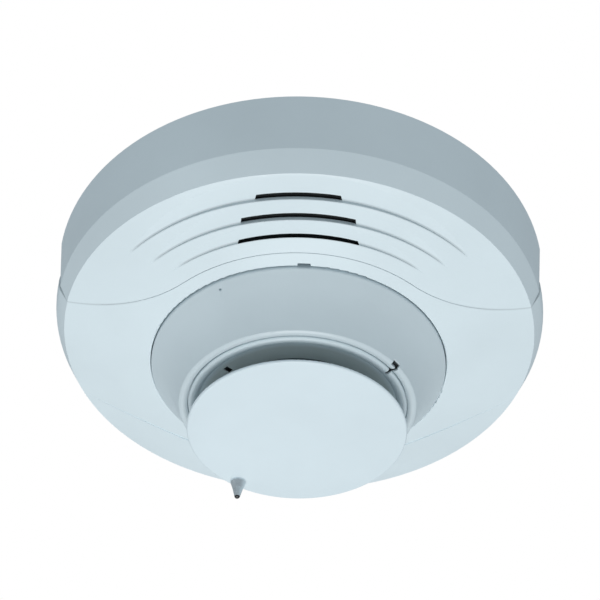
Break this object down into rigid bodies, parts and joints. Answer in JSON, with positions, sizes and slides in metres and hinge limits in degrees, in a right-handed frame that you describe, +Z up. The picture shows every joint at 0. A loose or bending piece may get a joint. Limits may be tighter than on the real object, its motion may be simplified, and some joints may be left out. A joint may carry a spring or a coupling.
{
  "type": "heat detector",
  "caption": "Ceiling heat detector: flared plug-in head with a disc cap and sensing probe, in a large round two-part sounder base with slots.",
  "frame": {"origin": "centre of the ceiling mounting face", "axes": "+Z up into the ceiling, the object hangs towards -Z, and the sound slots are on the -Y side"},
  "size_m": [0.172, 0.1733, 0.0681],
  "materials": {
    "white_plastic": "fine satin moulded plastic",
    "black_plastic": "matte moulded plastic",
    "dark_plastic": "matte moulded plastic",
    "green_plastic": "moulded terminal plastic",
    "board": "lacquered circuit board",
    "chip": "moulded component plastic",
    "capacitor": "sleeved can",
    "steel": "zinc plated",
    "spring_metal": "sprung contact strip",
    "copper_wire": "enamelled wire",
    "cone_film": "thin film",
    "black_cloth": "woven acoustic cloth",
    "dark_screen": "fine dark insect screen",
    "black_window": "dark translucent window",
    "probe_metal": "satin probe sheath",
    "sensor_epoxy": "dark resin bead"
  },
  "bodies": {
    "base": {"mounting_plate": "white_plastic", "plain_cover": "white_plastic", "grille_cover": "white_plastic", "socket": "white_plastic", "socket_contacts": "spring_metal", "contact_screws": "steel", "socket_screws": "steel", "lever_pin": "steel", "sounder_housing": "black_plastic", "sounder_magnet": "steel", "slot_gauze": "black_cloth", "sounder_board": "board", "sounder_chips": "chip", "sounder_capacitors": "capacitor", "terminal_block": "green_plastic", "terminal_screws": "steel", "board_screws": "steel", "cover_screws": "steel"},
    "tamper_latch": {"tamper_lever": "white_plastic"},
    "diaphragm": {"sounder_diaphragm": "cone_film", "voice_coil": "copper_wire"},
    "head": {"head_cover": "white_plastic", "entry_ring": "white_plastic", "insect_screen": "dark_screen", "neck_frame": "dark_plastic", "disc_cap": "white_plastic", "probe_cone": "probe_metal", "sensor_bead": "sensor_epoxy", "sensor_leads": "copper_wire", "left_window": "black_window", "right_light_guide": "black_window", "head_chassis": "white_plastic", "head_screws": "steel", "contact_blades": "spring_metal", "blade_rivets": "steel", "head_board": "board", "head_chips": "chip", "head_capacitors": "capacitor", "light_emitters": "chip"}
  },
  "joints": [
    {"name": "head_twist", "type": "hinge", "parent": "base", "child": "head", "pos_m": [0, 0, 0], "axis": [0, 0, 1], "range_deg": [-18, 0]},
    {"name": "latch_swing", "type": "hinge", "parent": "base", "child": "tamper_latch", "pos_m": [0.00178, -0.05107, -0.016], "axis": [0.9994, 0.0349, 0], "range_deg": [-3, 0], "stiffness_Nm_per_rad": 0.01},
    {"name": "diaphragm_travel", "type": "slide", "parent": "base", "child": "diaphragm", "axis": [0, 0, 1], "range_m": [-0.0003, 0.0003], "stiffness_N_per_m": 2000}
  ]
}
